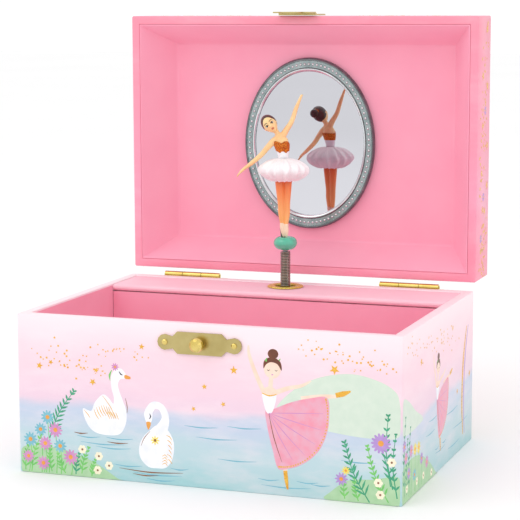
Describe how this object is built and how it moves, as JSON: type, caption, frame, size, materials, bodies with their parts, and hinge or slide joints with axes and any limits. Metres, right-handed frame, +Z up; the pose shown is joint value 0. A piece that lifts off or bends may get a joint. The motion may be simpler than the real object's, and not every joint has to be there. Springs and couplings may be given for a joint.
{
  "type": "musical jewellery box",
  "caption": "Small hinged musical jewellery box, open, with an oval mirror in the lid and a spring-mounted dancer that turns over the movement.",
  "frame": {"origin": "middle of the base box's underside, on the surface it stands on", "axes": "+Z up, +X to the right of a viewer facing the open box, +Y towards the hinges"},
  "size_m": [0.16, 0.1459, 0.1839],
  "materials": {
    "printed_board": "thin board wrapped in satin printed paper, pale pink to lilac to lake blue",
    "deep_pink_lining": "matt flocked lining paper",
    "pink_lining": "matt lining paper",
    "brass_fittings": "thin pressed brass, lightly aged",
    "movement_brass": "machined",
    "key_metal": "polished",
    "cast_bedplate": "die cast, satin",
    "movement_steel": "brushed",
    "spring_steel": "drawn wire",
    "mirror": "silvered glass",
    "silver_frame": "pressed and plated, beaded",
    "green_plastic": "moulded, glossy",
    "doll_plastic": "moulded and hand painted",
    "white_tulle": "gathered net"
  },
  "bodies": {
    "case": {"base_front_wall": "printed_board", "base_rear_wall": "printed_board", "base_left_wall": "printed_board", "base_right_wall": "printed_board", "bottom_board": "printed_board", "partition": "deep_pink_lining", "compartment_lining": "deep_pink_lining", "movement_shelf": "pink_lining", "brass_eyelet": "brass_fittings", "hinge_left_base_leaf": "brass_fittings", "hinge_left_pin": "brass_fittings", "hinge_right_base_leaf": "brass_fittings", "hinge_right_pin": "brass_fittings", "clasp_plate": "brass_fittings", "clasp_knob": "brass_fittings", "clasp_rivet_left": "brass_fittings", "clasp_rivet_right": "brass_fittings", "bedplate": "cast_bedplate", "bedplate_screw_1": "movement_steel", "bedplate_screw_2": "movement_steel", "comb": "movement_steel", "comb_screw_1": "movement_steel", "comb_screw_2": "movement_steel", "governor_frame": "movement_brass"},
    "lid": {"lid_board": "printed_board", "lid_front_wall": "printed_board", "lid_rear_wall": "printed_board", "lid_left_wall": "printed_board", "lid_right_wall": "printed_board", "lid_panel": "pink_lining", "lid_lining_left": "pink_lining", "lid_lining_right": "pink_lining", "lid_lining_rear": "pink_lining", "lid_lining_front": "pink_lining", "mirror_glass": "mirror", "mirror_frame": "silver_frame", "hinge_left_lid_leaf": "brass_fittings", "hinge_right_lid_leaf": "brass_fittings", "hasp": "brass_fittings", "hasp_rivet_left": "brass_fittings", "hasp_rivet_right": "brass_fittings"},
    "spring": {"doll_spring": "spring_steel"},
    "peg": {"doll_peg": "spring_steel"},
    "figure": {"doll_bead": "green_plastic", "ballerina_doll": "doll_plastic", "doll_skirt": "white_tulle"},
    "spindle": {"spindle": "movement_steel"},
    "barrel": {"spring_barrel": "movement_brass", "barrel_cover": "movement_brass"},
    "winder": {"winding_arbor": "movement_steel", "winding_key": "key_metal", "mainspring": "movement_steel"},
    "cylinder": {"cylinder_arbor": "movement_steel", "cylinder_wheel": "movement_brass", "pinned_cylinder": "movement_brass"},
    "governor": {"governor_arbor": "movement_steel", "worm_wheel": "movement_brass"},
    "worm": {"governor_worm": "movement_steel"},
    "stop": {"stop_wire": "movement_steel"}
  },
  "joints": [
    {"name": "lid_hinge", "type": "hinge", "parent": "case", "child": "lid", "pos_m": [0, 0.0599, 0.06515], "axis": [1, 0, 0], "range_deg": [0, 90]},
    {"name": "spring_bend_low", "type": "hinge", "parent": "case", "child": "spring", "pos_m": [-0.0011, 0.044, 0.0666], "axis": [1, 0, 0], "range_deg": [0, 45], "deforming": ["doll_spring"]},
    {"name": "spring_bend_high", "type": "hinge", "parent": "spring", "child": "peg", "pos_m": [-0.0011, 0.044, 0.0786], "axis": [1, 0, 0], "range_deg": [0, 75]},
    {"name": "figure_spin", "type": "hinge", "parent": "peg", "child": "figure", "pos_m": [-0.0011, 0.044, 0.0786], "axis": [0, 0, 1], "continuous": true},
    {"name": "barrel_spin", "type": "hinge", "parent": "case", "child": "barrel", "pos_m": [-0.0011, 0.04025, 0.032], "axis": [0, 1, 0], "continuous": true},
    {"name": "spindle_spin", "type": "hinge", "parent": "case", "child": "spindle", "pos_m": [-0.0011, 0.044, 0.0435], "axis": [0, 0, 1], "continuous": true},
    {"name": "cylinder_spin", "type": "hinge", "parent": "case", "child": "cylinder", "pos_m": [0.0229, 0.044, 0.032], "axis": [1, 0, 0], "continuous": true},
    {"name": "governor_spin", "type": "hinge", "parent": "case", "child": "governor", "pos_m": [0.041, 0.044, 0.0248], "axis": [1, 0, 0], "continuous": true},
    {"name": "worm_spin", "type": "hinge", "parent": "case", "child": "worm", "pos_m": [0.043, 0.0396, 0.0248], "axis": [0, 0, 1], "continuous": true},
    {"name": "key_wind", "type": "hinge", "parent": "case", "child": "winder", "pos_m": [-0.0011, 0.06, 0.032], "axis": [0, 1, 0], "continuous": true},
    {"name": "stop_slide", "type": "slide", "parent": "case", "child": "stop", "axis": [0, 0, 1], "range_m": [-0.0025, 0]}
  ],
  "couplings": [
    {"joint": "spring_bend_low", "follows": "lid_hinge", "ratio": 0.5},
    {"joint": "spring_bend_high", "follows": "lid_hinge", "ratio": 0.8333},
    {"joint": "stop_slide", "follows": "lid_hinge", "m_per_rad": -0.00159},
    {"joint": "figure_spin", "follows": "cylinder_spin", "ratio": 1},
    {"joint": "spindle_spin", "follows": "cylinder_spin", "ratio": 1},
    {"joint": "barrel_spin", "follows": "cylinder_spin", "ratio": 0.25},
    {"joint": "governor_spin", "follows": "cylinder_spin", "ratio": -2},
    {"joint": "worm_spin", "follows": "cylinder_spin", "ratio": -32}
  ]
}
